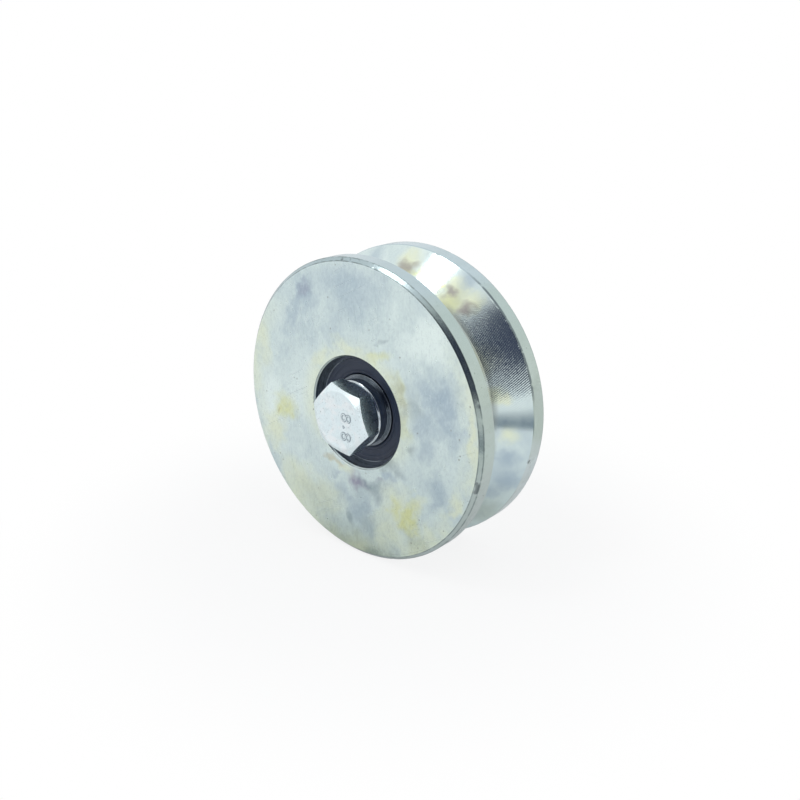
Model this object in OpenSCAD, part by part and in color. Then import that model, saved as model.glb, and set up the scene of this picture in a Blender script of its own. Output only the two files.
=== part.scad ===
// V-groove wheel for a sliding gate, on its axle bolt.
// A turned steel wheel holds two sealed ball bearings, which run on a bush that the bolt
// clamps. The origin is the wheel's centre. +Y runs along the axle from the bolt's head
// to its free threaded end, and +Z is up.

/* [Wheel] */
// Outside diameter of the flanges
wheel_d = 90; // [80:1:110]
// Width over both faces
wheel_w = 30; // [27:0.5:36]
// Flat running band on each flange, beside the groove
flat_w = 4.7; // [3:0.1:5.5]
// Width of the flat at the root of the groove
root_w = 2.4; // [1:0.2:4]
// Included angle of the groove
groove_angle = 90; // [80:5:100]
// Chamfer on the outer edge of each flange
edge_chamfer = 0.9; // [0.3:0.1:1.5]
// How far the lip in front of the bearings stands in from their seat
lip_h = 0.8; // [0.5:0.1:1.5]

/* [Bearings] */
// Bore of each bearing
bearing_bore = 15; // [13.5:0.5:16.5]
// Outside diameter of each bearing
bearing_d = 35; // [32:0.5:38]
// Width of each bearing
bearing_w = 11; // [10:0.5:12]
// Number of balls in each bearing
balls = 8; // [6:1:8]

/* [Axle] */
// Nominal diameter of the bolt
bolt_d = 12; // [11:0.5:12.5]
// Length of the bolt under its head
bolt_l = 60; // [56:1:80]
// Width of the bolt's head and of the nut across their flats
hex_af = 19; // [18:0.5:21]
// Height of the bolt's head
head_h = 6.5; // [5:0.1:7.5]
// Height of the nut
nut_h = 10; // [8:0.5:11]
// Diameter of the bush's collar and of the rear spacer
collar_d = 20; // [19:0.1:20.6]
// How far the collar stands out of the wheel's front face
collar_proud = 0.7; // [0.2:0.1:3]
// Outside diameter of the plain washer
washer_d = 24; // [22:0.5:28]
// Thickness of the plain washer
washer_t = 2.5; // [1.5:0.1:3]

/* [Hidden] */
$fn = 128;
eps = 0.01;             // overlap of a cut past the face that it opens

// Colours
zinc = "#c6d0d5";
bearing_steel = "#b4b8bc";
cage_steel = "#a4a29c";
rubber = "#30343c";
spring_steel = "#3c3e42";

// Clearances and fits
run_gap = 0.02;         // balls to the races
pocket_gap = 0.25;      // balls to their pockets
lip_gap = 0.05;         // seal lip to the inner ring
bolt_gap = 0.15;        // bolt to the bores of the bush, spacer and washers
circlip_gap = 0.1;      // circlip to the floor of its groove
circlip_play = 0.05;    // circlip to the side of its groove

// Wheel
wheel_r = wheel_d / 2;
face_y = wheel_w / 2;                         // rear face, and the front one at -face_y
rim_y = face_y - edge_chamfer;                // start of the flange's chamfer
mouth_y = rim_y - flat_w;                     // edge of the groove's mouth
groove_depth = (mouth_y - root_w / 2) / tan(groove_angle / 2);
root_r = wheel_r - groove_depth;
seat_r = bearing_d / 2;
hole_chamfer = 0.5;
circlip_w = 1.5;
circlip_groove_w = circlip_w + 2 * circlip_play;
circlip_groove_d = bearing_d + 2;
// The lip in front of the bearings is as thick as the land behind the circlip's groove
lip_w = (wheel_w - 2 * bearing_w - circlip_groove_w) / 2;
lip_r = seat_r - lip_h;
seat_y = -face_y + lip_w;                     // floor of the bearing seat
circlip_y = seat_y + 2 * bearing_w;           // front side of the circlip's groove

// Bearings. The balls and the shoulders take their sizes from the height of the section.
section_h = (bearing_d - bearing_bore) / 2;
ball_d = 0.5953 * section_h;
pitch_d = (bearing_bore + bearing_d) / 2;     // circle that the balls' centres run on
inner_shoulder_d = bearing_bore + 0.67 * section_h;
outer_shoulder_d = bearing_d - 0.64 * section_h;
ball_r = ball_d / 2;
pitch_r = pitch_d / 2;
bore_r = bearing_bore / 2;
front_bearing_y = seat_y + bearing_w / 2;     // mid-plane of the front bearing
rear_bearing_y = front_bearing_y + bearing_w; // mid-plane of the rear bearing
race_r = ball_r + 0.12;                       // radius of the race's section
ring_round = 0.6;                             // chamfer on the rings' corners
seal_bead_h = 1.2;                            // seal's bead above the shoulder
seal_groove_r = outer_shoulder_d / 2 + seal_bead_h + 0.2;
seal_groove_w = 0.9;
seal_sink = 0.25;                             // seal below the ring's side face
seal_t = 0.7;
cage_in_r = inner_shoulder_d / 2 + 0.55;
cage_out_r = outer_shoulder_d / 2 - 0.6;
cage_t = 0.6;
rivet_r = 0.55;
rivet_head_r = 0.9;
rivet_head_h = 0.35;

// Axle stack, from the head to the free end
head_y = -face_y - collar_proud;              // underside of the head
bush_end_y = circlip_y;                       // rear end of the bush's sleeve
spacer_end_y = face_y + collar_proud;
washer_end_y = spacer_end_y + washer_t;
spring_t = 2.5;
spring_d = 21.1;
nut_y = washer_end_y + spring_t;
nut_end_y = nut_y + nut_h;
bolt_end_y = head_y + bolt_l;
bolt_r = bolt_d / 2;
free_y = nut_end_y + 0.5;                     // start of the free threaded end
free_r = bolt_r - 0.16;                       // its radius, the thread's least major radius
end_chamfer = 1.2;
bolt_bore_r = bolt_r + bolt_gap;
collar_chamfer = 0.4;
hex_r = hex_af / 2 / cos(30);
hex_chamfer_angle = 25;
head_turn = 13;                               // turn of the head about the axle
nut_turn = 18;                                // turn of the nut about the axle

// Turns a profile of [radius, y] points about the Y axis.
module turned(points) {
  rotate([-90, 0, 0])
    mirror([0, 1, 0])
      rotate_extrude()
        polygon(points);
}

// A solid cylinder along Y from y0 to y1.
module rod(r, y0, y1) {
  translate([0, y0, 0])
    rotate([-90, 0, 0])
      cylinder(r = r, h = y1 - y0);
}

// Places its children at n even steps about the Y axis.
module around(n, turn = 0) {
  for (i = [0 : n - 1])
    rotate([0, turn + i * 360 / n, 0])
      children();
}

// The wheel, turned in one piece: groove, lip, bearing seat and circlip groove.
module wheel_body() {
  color(zinc)
    turned([
      [lip_r + hole_chamfer, -face_y],
      [wheel_r - edge_chamfer, -face_y],
      [wheel_r, -rim_y],
      [wheel_r, -mouth_y],
      [root_r, -root_w / 2],
      [root_r, root_w / 2],
      [wheel_r, mouth_y],
      [wheel_r, rim_y],
      [wheel_r - edge_chamfer, face_y],
      [seat_r + hole_chamfer, face_y],
      [seat_r, face_y - hole_chamfer],
      [seat_r, circlip_y + circlip_groove_w],
      [circlip_groove_d / 2, circlip_y + circlip_groove_w],
      [circlip_groove_d / 2, circlip_y],
      [seat_r, circlip_y],
      [seat_r, seat_y],
      [lip_r, seat_y],
      [lip_r, -face_y + hole_chamfer]
    ]);
}

// The ball race, a torus, to cut from a ring. shift moves its section off the pitch
// circle, so that the balls clear the floor of the race by run_gap.
module race(y, shift) {
  translate([0, y, 0])
    rotate([-90, 0, 0])
      rotate_extrude()
        translate([pitch_r + shift, 0])
          circle(r = race_r, $fn = 64);
}

// Outer ring of the bearing whose mid-plane is at y.
module outer_ring(y) {
  half = bearing_w / 2;
  shoulder = outer_shoulder_d / 2;
  seal_y = half - seal_sink - seal_groove_w;
  color(bearing_steel)
    difference() {
      turned([
        [shoulder, y - seal_y],
        [seal_groove_r, y - seal_y],
        [seal_groove_r, y - half + seal_sink],
        [seal_groove_r - 0.3, y - half],
        [seat_r - ring_round, y - half],
        [seat_r, y - half + ring_round],
        [seat_r, y + half - ring_round],
        [seat_r - ring_round, y + half],
        [seal_groove_r - 0.3, y + half],
        [seal_groove_r, y + half - seal_sink],
        [seal_groove_r, y + seal_y],
        [shoulder, y + seal_y]
      ]);
      race(y, ball_r + run_gap - race_r);
    }
}

// Inner ring of the bearing whose mid-plane is at y.
module inner_ring(y) {
  half = bearing_w / 2;
  shoulder = inner_shoulder_d / 2;
  chamfer = 0.3;
  color(bearing_steel)
    difference() {
      turned([
        [bore_r + chamfer, y - half],
        [shoulder - chamfer, y - half],
        [shoulder, y - half + chamfer],
        [shoulder, y + half - chamfer],
        [shoulder - chamfer, y + half],
        [bore_r + chamfer, y + half],
        [bore_r, y + half - chamfer],
        [bore_r, y - half + chamfer]
      ]);
      race(y, race_r - ball_r - run_gap);
    }
}

// The ring of balls.
module ball_set(y) {
  color(bearing_steel)
    translate([0, y, 0])
      around(balls)
        translate([pitch_r, 0, 0])
          sphere(r = ball_r, $fn = 32);
}

// A ring of bars of radius r that point outwards, one through each ball.
module pocket_bars(r, r0, r1) {
  around(balls)
    translate([r0, 0, 0])
      rotate([0, 90, 0])
        cylinder(r = r, h = r1 - r0);
}

// One half of the pressed cage: side is -1 for the half at the lower Y, 1 for the other.
module cage_half(y, side) {
  pocket_r = ball_r + pocket_gap;
  depth = pocket_r + cage_t;
  color(cage_steel)
    translate([0, y, 0])
      mirror([0, side > 0 ? 1 : 0, 0])
        difference() {
          intersection() {
            union() {
              rod(cage_out_r, -cage_t, 0);
              pocket_bars(depth, cage_in_r - 1, cage_out_r + 1);
            }
            difference() {
              rod(cage_out_r, -depth - 1, 0);
              rod(cage_in_r, -depth - 2, 1);
            }
          }
          pocket_bars(pocket_r, cage_in_r - 2, cage_out_r + 2);
          around(balls, 180 / balls)
            translate([pitch_r, 0, 0])
              rod(rivet_r, -cage_t - 1, 1);
        }
}

// The rivets that hold the two halves of a cage together.
module cage_rivets(y) {
  color(cage_steel)
    translate([0, y, 0])
      around(balls, 180 / balls)
        translate([pitch_r, 0, 0]) {
          rod(rivet_r, -cage_t, cage_t);
          rod(rivet_head_r, cage_t, cage_t + rivet_head_h);
          rod(rivet_head_r, -cage_t - rivet_head_h, -cage_t);
        }
}

// A rubber seal: bead in the outer ring's groove, stepped disc, lip on the inner ring.
// side is -1 for the seal at the bearing's lower Y, 1 for the other.
module seal(y, side) {
  out_y = bearing_w / 2 - seal_sink;
  in_y = out_y - seal_t;
  bead_r = outer_shoulder_d / 2 + seal_bead_h;
  rub_r = inner_shoulder_d / 2 + lip_gap;
  points = [
    [rub_r, in_y - 0.1],
    [rub_r + 0.6, in_y],
    [outer_shoulder_d / 2 - 0.1, in_y],
    [outer_shoulder_d / 2 + 0.1, out_y - seal_groove_w],
    [seal_groove_r, out_y - seal_groove_w],
    [seal_groove_r, out_y - 0.3],
    [bead_r, out_y],
    [bead_r - 0.7, out_y],
    [bead_r - 0.9, out_y - 0.25],
    [bead_r - 1.6, out_y - 0.25],
    [bead_r - 1.8, out_y - 0.05],
    [rub_r + 1.2, out_y - 0.05],
    [rub_r + 0.95, out_y - 0.3],
    [rub_r + 0.55, out_y - 0.3],
    [rub_r + 0.4, out_y - 0.1],
    [rub_r, out_y - 0.35]
  ];
  color(rubber)
    turned([for (p = points) [p[0], y + side * p[1]]]);
}

// Internal retaining ring that holds the bearings in the wheel.
module circlip() {
  out_r = circlip_groove_d / 2 - circlip_gap;
  beam = 2.9;
  gap_angle = 26;
  lug_r = 2.6;
  lug_hole_r = 1.25;
  y0 = circlip_y + circlip_play;
  y1 = y0 + circlip_w;
  lug_at = out_r - lug_r - 0.9;
  color(spring_steel)
    difference() {
      union() {
        difference() {
          rod(out_r, y0, y1);
          translate([0, 0, -0.5])
            rod(out_r - beam + 0.5, y0 - eps, y1 + eps);
          // The gap between the two ends, at the top
          translate([0, y0 - eps, 0])
            rotate([-90, 0, 0])
              linear_extrude(height = circlip_w + 2 * eps)
                polygon([
                  [0, 0],
                  [-wheel_r * sin(gap_angle / 2), -wheel_r * cos(gap_angle / 2)],
                  [wheel_r * sin(gap_angle / 2), -wheel_r * cos(gap_angle / 2)]
                ]);
        }
        for (s = [-1, 1])
          rotate([0, s * (gap_angle / 2 + 5), 0])
            translate([0, 0, lug_at])
              rod(lug_r, y0, y1);
      }
      for (s = [-1, 1])
        rotate([0, s * (gap_angle / 2 + 5), 0])
          translate([0, 0, lug_at])
            rod(lug_hole_r, y0 - eps, y1 + eps);
    }
}

// Bush through both bearings, with a collar under the bolt's head.
module axle_bush() {
  color(zinc)
    turned([
      [bolt_bore_r, head_y],
      [collar_d / 2 - collar_chamfer, head_y],
      [collar_d / 2, head_y + collar_chamfer],
      [collar_d / 2, seat_y],
      [bore_r, seat_y],
      [bore_r, bush_end_y - collar_chamfer],
      [bore_r - collar_chamfer, bush_end_y],
      [bolt_bore_r, bush_end_y]
    ]);
}

// Spacer between the rear inner ring and the washer.
module rear_spacer() {
  color(zinc)
    turned([
      [bolt_bore_r, bush_end_y],
      [collar_d / 2 - collar_chamfer, bush_end_y],
      [collar_d / 2, bush_end_y + collar_chamfer],
      [collar_d / 2, spacer_end_y - collar_chamfer],
      [collar_d / 2 - collar_chamfer, spacer_end_y],
      [bolt_bore_r, spacer_end_y]
    ]);
}

// A hexagonal prism along Y from y0 to y1, its corners cut back on the ends asked for.
module hex(y0, y1, turn, front_cut, rear_cut) {
  face_r = hex_af / 2 * 0.95;
  clear_r = hex_r + 1;
  fall = (clear_r - face_r) * tan(hex_chamfer_angle);
  intersection() {
    rotate([0, turn, 0])
      translate([0, y0, 0])
        rotate([-90, 0, 0])
          cylinder(r = hex_r, h = y1 - y0, $fn = 6);
    turned([
      [0, y0],
      [front_cut ? face_r : clear_r, y0],
      [clear_r, front_cut ? y0 + fall : y0],
      [clear_r, rear_cut ? y1 - fall : y1],
      [rear_cut ? face_r : clear_r, y1],
      [0, y1]
    ]);
  }
}

// Hexagon bolt with a part-threaded shank. Its major diameter stands for the thread.
module axle_bolt() {
  color(zinc)
    union() {
      hex(head_y - head_h, head_y, head_turn, true, true);
      turned([
        [0, head_y - eps],
        [bolt_r, head_y - eps],
        [bolt_r, free_y],
        [free_r, free_y],
        [free_r, bolt_end_y - end_chamfer],
        [free_r - end_chamfer, bolt_end_y],
        [0, bolt_end_y]
      ]);
    }
}

// Plain washer.
module plain_washer() {
  edge = 0.3;
  color(zinc)
    turned([
      [bolt_bore_r, spacer_end_y],
      [washer_d / 2 - edge, spacer_end_y],
      [washer_d / 2, spacer_end_y + edge],
      [washer_d / 2, washer_end_y],
      [bolt_bore_r, washer_end_y]
    ]);
}

// Split spring washer, clamped flat.
module spring_washer() {
  slit = 1.2;
  slit_angle = 25;
  color(zinc)
    difference() {
      rod(spring_d / 2, washer_end_y, nut_y);
      rod(bolt_bore_r, washer_end_y - eps, nut_y + eps);
      translate([spring_d / 2, (washer_end_y + nut_y) / 2, 0])
        rotate([slit_angle, 0, 0])
          cube([spring_d, 3 * spring_t, slit], center = true);
    }
}

// Hexagon nut. Its bore meets the thread's major diameter.
module hex_nut() {
  color(zinc)
    difference() {
      hex(nut_y, nut_end_y, nut_turn, true, true);
      rod(bolt_r, nut_y - eps, nut_end_y + eps);
    }
}

wheel_body();
outer_ring(front_bearing_y);  // front_outer_ring
inner_ring(front_bearing_y);  // front_inner_ring
ball_set(front_bearing_y);  // front_balls
cage_half(front_bearing_y, -1);  // front_cage_outer_half
cage_half(front_bearing_y, 1);  // front_cage_inner_half
cage_rivets(front_bearing_y);  // front_cage_rivets
seal(front_bearing_y, -1);  // front_bearing_outer_seal
seal(front_bearing_y, 1);  // front_bearing_inner_seal
outer_ring(rear_bearing_y);  // rear_outer_ring
inner_ring(rear_bearing_y);  // rear_inner_ring
ball_set(rear_bearing_y);  // rear_balls
cage_half(rear_bearing_y, -1);  // rear_cage_inner_half
cage_half(rear_bearing_y, 1);  // rear_cage_outer_half
cage_rivets(rear_bearing_y);  // rear_cage_rivets
seal(rear_bearing_y, -1);  // rear_bearing_inner_seal
seal(rear_bearing_y, 1);  // rear_bearing_outer_seal
circlip();
axle_bush();
rear_spacer();
axle_bolt();
plain_washer();
spring_washer();
hex_nut();
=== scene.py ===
"""V-groove gate wheel: the looks of a turned, zinc-plated steel wheel on its axle bolt.

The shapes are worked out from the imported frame's boxes and from the sizes in the property
groups, in millimetres. Each operator makes one piece or one group of like pieces.
"""

import math
import random

import bmesh
import bpy
from bpy.props import FloatProperty, FloatVectorProperty, IntProperty, PointerProperty
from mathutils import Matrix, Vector


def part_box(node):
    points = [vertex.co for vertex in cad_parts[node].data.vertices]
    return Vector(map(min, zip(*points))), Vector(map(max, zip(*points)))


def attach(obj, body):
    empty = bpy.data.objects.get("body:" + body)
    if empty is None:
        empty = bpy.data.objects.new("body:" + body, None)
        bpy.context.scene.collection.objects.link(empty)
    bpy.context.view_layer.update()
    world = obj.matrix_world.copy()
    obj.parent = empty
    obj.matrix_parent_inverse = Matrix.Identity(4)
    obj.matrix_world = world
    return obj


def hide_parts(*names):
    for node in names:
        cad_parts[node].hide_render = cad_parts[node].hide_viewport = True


bl_info = {
    "name": "V-Groove Gate Wheel",
    "version": (1, 0, 0),
    "blender": (4, 5, 0),
    "location": "View3D > Sidebar > Gate Wheel",
    "description": "Turned and zinc-plated V-groove wheel with sealed bearings and an axle bolt",
    "category": "Object",
}

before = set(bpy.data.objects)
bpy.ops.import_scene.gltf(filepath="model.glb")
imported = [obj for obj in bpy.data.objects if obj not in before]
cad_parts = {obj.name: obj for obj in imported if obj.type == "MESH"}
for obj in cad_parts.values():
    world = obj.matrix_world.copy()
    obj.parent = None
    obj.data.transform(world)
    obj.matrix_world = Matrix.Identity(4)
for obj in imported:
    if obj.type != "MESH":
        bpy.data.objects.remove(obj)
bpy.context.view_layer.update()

MM = 0.001
TURN = 2 * math.pi

# Hexagons: where the cone that cuts their corners starts, as a share of the flats' half
# width, its angle and the steps of its rows, and what is worn off their edges in mm
CONE_START = 0.9
CONE_ANGLE = math.radians(25)
CONE_STEPS = (0.0, 0.05, 0.35, 0.7, 0.95, 1.0)
BLUNTED = 0.08
# Bearings: shoulder of the outer ring and ball, as shares of the section's height
SHOULDER = 0.32
BALL = 0.5953
# In mm: width of the seals' grooves, play over a seal's bead, and how much the races are
# larger than the ball and clear of it
SEAL_GROOVE, BEAD_PLAY = 0.9, 0.2
RACE_OVER, BALL_PLAY = 0.12, 0.02
# Depth of a coarse thread for each mm of its pitch, and play of the bolt's crests in mm
THREAD_DEPTH = 0.6134
CREST_PLAY = 0.07
# Azimuth and elevation of the softbox, and of the studio's unlit side and its window, with
# the angles from their middle where they end and where they are full, all in degrees
SOFTBOX = (-34, 61)
UNLIT = ((36, 24), 40, 30)
WINDOW = ((-8, 17), 13, 10)
# How far right of the wheel the paper ends, in mm
PAPER_EDGE = 133


def mm_box(node):
    """Lowest and highest corner of a CAD node, in millimetres."""
    low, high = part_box(node)
    return low / MM, high / MM


WHEEL_LOW, WHEEL_HIGH = mm_box("wheel_body")
BOLT_LOW, BOLT_HIGH = mm_box("axle_bolt")
RING_LOW, RING_HIGH = mm_box("front_outer_ring")
REAR_LOW, REAR_HIGH = mm_box("rear_outer_ring")
INNER_LOW, INNER_HIGH = mm_box("front_inner_ring")
CLIP_LOW, CLIP_HIGH = mm_box("circlip")
BUSH_LOW, BUSH_HIGH = mm_box("axle_bush")
SPACER_LOW, SPACER_HIGH = mm_box("rear_spacer")
WASHER_LOW, WASHER_HIGH = mm_box("plain_washer")
SPRING_LOW, SPRING_HIGH = mm_box("spring_washer")
NUT_LOW, NUT_HIGH = mm_box("hex_nut")


def linear(code):
    """Linear RGBA colour of an sRGB hex value such as #c3d0d6."""
    parts = [int(code[i : i + 2], 16) / 255 for i in (1, 3, 5)]
    light = [c / 12.92 if c <= 0.04045 else ((c + 0.055) / 1.055) ** 2.4 for c in parts]
    return (*light, 1.0)


def shaded(base, share):
    """Colour made darker or paler."""
    return (*(min(1.0, share * part) for part in base[:3]), 1.0)


# Sizes and colours ----------


def length(name, default, about):
    about += ", in mm"
    return FloatProperty(name=name, description=about, default=default, min=0.0, precision=3)


def turn(name, degrees, about):
    start = math.radians(degrees)
    return FloatProperty(name=name, description=about, default=start, subtype="ANGLE")


def colour(name, code, about):
    look = {"default": linear(code), "subtype": "COLOR", "size": 4, "min": 0.0, "max": 1.0}
    return FloatVectorProperty(name=name, description=about, **look)


class WheelSettings(bpy.types.PropertyGroup):
    flat_w: length("Running flat", 4.5, "Flat band beside the groove")
    root_w: length("Groove root", 2.4, "Width of the flat at the root")
    edge_chamfer: length("Edge chamfer", 1.1, "Chamfer on the flange's edge")
    hole_chamfer: length("Hole chamfer", 0.5, "Chamfer on the hole's edges")
    lip_h: length("Lip height", 0.8, "How far the lip stands in from the seat")
    clip_play: length("Circlip play", 0.05, "Circlip to the sides of its groove")
    clip_gap: length("Circlip gap", 0.1, "Circlip to the floor of its groove")
    edge_round: length("Edge radius", 0.06, "Radius left on the turned edges")
    mouth_round: length("Mouth radius", 0.3, "Radius worn on the rear mouth of the groove")
    chatter_pitch: length("Chatter pitch", 0.585, "Spacing of the chatter marks")
    segments: IntProperty(name="Segments", description="Steps round", default=540, min=96)
    plate: colour("Plate", "#dbe9e7", "Clear passivated zinc")
    # The pale plate also serves as painted highlight and painted reflection in some of the outer
    # face's patches
    pale: colour("Pale plate", "#effbf6", "Palest patches of the plate")
    blue: colour("Blue plate", "#b3c4cf", "Blue-grey patches of the plate")
    slate: colour("Slate plate", "#93a3ab", "Slate-grey smudges on the plate")
    yellow: colour("Yellow stain", "#e4e7a6", "Yellow-green run-off stains")
    cream: colour("Cream stain", "#edf3d6", "Cream haze of thin yellow film")
    ochre: colour("Ochre stain", "#b9a878", "Brownish specks and edges of the stains")
    brown: colour("Brown stain", "#9f9899", "Violet-brown drying spots in the groove")
    violet: colour("Violet stain", "#a29fb2", "Violet-grey stains")
    # The olive also serves as painted shade along the bottom of the outer face
    olive: colour("Olive stain", "#a3ad98", "Olive-grey haze at the bottom")


class BearingSettings(bpy.types.PropertyGroup):
    bore: length("Bore", 15.0, "Bore of the bearings")
    section_h: length("Section", 10.0, "Height of the bearing's section")
    seal_sink: length("Seal sink", 0.25, "Seal below the ring's face")
    seal_bead_h: length("Seal bead", 1.2, "Seal's bead above the shoulder")
    rubber: colour("Seal rubber", "#26334a", "Blue-black nitrile rubber")
    # The outer ring's darker grey is painted shade for its face sunk in the hole behind the
    # wheel's lip
    outer: colour("Outer ring", "#4c515c", "Ground steel, browned by its grease")
    inner: colour("Inner ring", "#757b82", "Ground bearing steel")


class AxleSettings(bpy.types.PropertyGroup):
    bolt_d: length("Bolt", 12.0, "Nominal diameter of the bolt")
    thread_pitch: length("Thread pitch", 1.75, "Pitch of the coarse thread")
    thread_l: length("Thread length", 30.0, "Length of the thread")
    across_flats: length("Across flats", 19.0, "Width of the hexagons")
    head_h: length("Head height", 6.5, "Height of the bolt's head")
    mark_h: length("Mark height", 0.2, "Height of the grade marks")
    head_turn: turn("Head turn", 13, "Turn of the bolt's head about the axle")
    nut_turn: turn("Nut turn", 18, "Turn of the nut about the axle")
    slit_turn: turn("Slit turn", 25, "Turn of the spring washer's slit about the axle")
    slit_w: length("Slit", 1.2, "Width of the spring washer's slit")
    bolt_gap: length("Bolt gap", 0.15, "Bolt to the bores around it")
    collar_chamfer: length("Collar chamfer", 0.4, "Chamfer on bush and spacer")
    plate: colour("Fastener plate", "#effbfd", "Bright blue-white zinc")
    drawn: colour("Drawn plate", "#d3dfea", "Darker zinc on the sides of the bolt's head")
    # Painted shade on the flanks of the raised marks, which outlines the figures
    corner: colour("Corner plate", "#a3afb5", "Dull zinc round the raised marks")
    stamped: colour("Stamped plate", "#ccd7db", "Zinc on the washers, nut and thread")
    turned: colour("Turned plate", "#c4ccd0", "Zinc on the turned bush and spacer")


class StageSettings(bpy.types.PropertyGroup):
    azimuth: turn("Azimuth", 40.9, "Where the camera stands round the wheel")
    elevation: turn("Elevation", 20.35, "How far the camera looks down")
    distance: length("Distance", 281.7, "Camera to the wheel's front face")
    aim_right: length("Aim right", 12.8, "Camera to the right of the wheel")
    aim_up: length("Aim up", 3.85, "Camera above the wheel's centre")
    lens: length("Lens", 44.15, "Focal length on a 36 mm frame")
    softbox: FloatProperty(
        name="Softbox", description="Power of the softbox, in watts", default=0.6, min=0.0
    )
    room: colour("Room", "#f5f7f9", "Pale walls of the studio")
    dark: colour("Dark side", "#40465a", "Unlit side of the studio, behind the camera")
    paper: colour("Paper", "#f6f7f8", "White paper under the wheel")
    ground: colour("Ground", "#86919d", "Grey ground beyond the paper's edge")


# Meshes ----------


def outline(points, radius, longest, steps=3):
    """Closed profile ready to turn. Each point is (r, y, tag), with its own corner radius
    as a fourth value where it differs; a tag names the span that follows its point. The
    corners are rounded and the spans divided, so that none is longer than longest."""
    soft = []
    for i, (r, y, tag, *own) in enumerate(points):
        here = Vector((r, y))
        before = Vector(points[i - 1][:2]) - here
        after = Vector(points[(i + 1) % len(points)][:2]) - here
        cut = min(own[0] if own else radius, 0.4 * before.length, 0.4 * after.length)
        if cut == 0:
            soft.append((r, y, tag))
            continue
        start = here + before.normalized() * cut
        end = here + after.normalized() * cut
        for k in range(steps + 1):
            t = k / steps
            p = start * (1 - t) ** 2 + here * 2 * t * (1 - t) + end * t**2
            soft.append((p.x, p.y, tag))
    result = []
    for i, (r, y, tag) in enumerate(soft):
        r2, y2, _ = soft[(i + 1) % len(soft)]
        span = math.hypot(r2 - r, y2 - y)
        parts = max(math.ceil(span / longest), 4 if span > 0.5 else 1)
        result += [(r + (r2 - r) * k / parts, y + (y2 - y) * k / parts, tag) for k in range(parts)]
    return result


def solid_of(name, columns, tags, closed_rows=True, full_turn=True, lead=0):
    """Object from columns of points in mm. Neighbouring columns are joined by quads with
    the tags as material indices, and the ends of a part turn are capped. lead is how many
    rows the last column is behind the first, which a thread needs."""
    rows = len(columns[0])
    verts = [(x * MM, y * MM, z * MM) for column in columns for x, y, z in column]
    faces = []
    slots = []
    for j in range(len(columns) if full_turn else len(columns) - 1):
        wraps = j == len(columns) - 1
        shift = lead if wraps else 0
        for i in range(rows if closed_rows else rows - 1 - shift):
            n = (i + 1) % rows
            a, b = j * rows, (0 if wraps else (j + 1) * rows) + shift
            faces.append((a + i, a + n, b + n, b + i))
            slots.append(tags[i])
    if not full_turn:
        for j in (0, len(columns) - 1):
            faces.append(tuple(j * rows + i for i in range(rows)))
            slots.append(tags[0])
    mesh = bpy.data.meshes.new(name)
    mesh.from_pydata(verts, [], faces)
    mesh.polygons.foreach_set("material_index", slots)
    bm = bmesh.new()
    bm.from_mesh(mesh)
    bmesh.ops.remove_doubles(bm, verts=bm.verts, dist=0.003 * MM)
    if lead:
        rim = [edge for edge in bm.edges if edge.is_boundary]
        bmesh.ops.holes_fill(bm, edges=rim, sides=0)
    bmesh.ops.recalc_face_normals(bm, faces=bm.faces)
    bm.to_mesh(mesh)
    bm.free()
    obj = bpy.data.objects.new(name, mesh)
    bpy.context.scene.collection.objects.link(obj)
    return obj


def around(r, y, angle):
    """Point at a distance from the axle, a place along it and an angle from +X to +Z."""
    return r * math.cos(angle), y, r * math.sin(angle)


def turned(name, profile, segments=192, start=0.0, sweep=TURN, slant=0.0):
    """Turns a closed profile of (r, y, tag) about the Y axis. slant turns the profile
    more the further it is along Y, in radians for each mm."""
    full = sweep >= TURN
    columns = []
    for j in range(segments if full else segments + 1):
        angle = start + sweep * j / segments
        columns.append([around(r, y, angle + slant * y) for r, y, _ in profile])
    return solid_of(name, columns, [tag for _, _, tag in profile], full_turn=full)


def forged(name, rows, tags, closed, segments=360):
    """Object from rows that give (r, y) for each angle, such as a hexagon's."""
    angles = [TURN * j / segments for j in range(segments)]
    columns = [[around(*row(angle), angle) for row in rows] for angle in angles]
    return solid_of(name, columns, tags, closed_rows=closed)


def ring_row(r, y):
    """A round row for forged()."""
    return lambda angle: (r, y)


def hexagon_rows(across, turned_by, y0, y1):
    """Rows of a hexagonal prism from y0 to y1, its corners cut back at both ends by a
    cone that starts inside the flats. The prism's own edges are a little blunt."""
    face_r = across / 2 * CONE_START
    sharpest = across / 2 / math.cos(TURN / 12) - BLUNTED

    def side(angle):
        off = abs((angle + turned_by) % (TURN / 6) - TURN / 12)
        return min(across / 2 / math.cos(off), sharpest)

    def end_row(y, inwards, t):
        def row(angle):
            reach = (side(angle) - face_r) * t
            return face_r + reach, y + inwards * reach * math.tan(CONE_ANGLE)

        return row

    def side_row(t):
        low, high = end_row(y0, 1, 1.0), end_row(y1, -1, 1.0)

        def row(angle):
            r, start = low(angle)
            return r, start + (high(angle)[1] - start) * t

        return row

    rows = [ring_row(face_r - 0.12, y0)] + [end_row(y0, 1, t) for t in CONE_STEPS]
    rows += [side_row(t) for t in (0.02, 0.25, 0.5, 0.75, 0.98)]
    rows += [end_row(y1, -1, t) for t in CONE_STEPS[::-1]]
    return rows + [ring_row(face_r - 0.12, y1)]


def dress(obj, body, slot, node, *materials, sharp=35):
    """Gives a piece its materials, shading and body, and hides the CAD node it stands for; slot is
    not used.
    """
    mesh = obj.data
    for material in materials:
        mesh.materials.append(material)
    mesh.polygons.foreach_set("use_smooth", [True] * len(mesh.polygons))
    mesh.set_sharp_from_angle(angle=math.radians(sharp))
    flat = obj.modifiers.new("weighted_normals", "WEIGHTED_NORMAL")
    flat.keep_sharp = True
    flat.weight = 80
    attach(obj, body)
    if node:
        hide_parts(node)


def coat(name, material):
    """Gives a CAD node that keeps its shape another material."""
    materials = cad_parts[name].data.materials
    materials.clear()
    materials.append(material)


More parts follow.
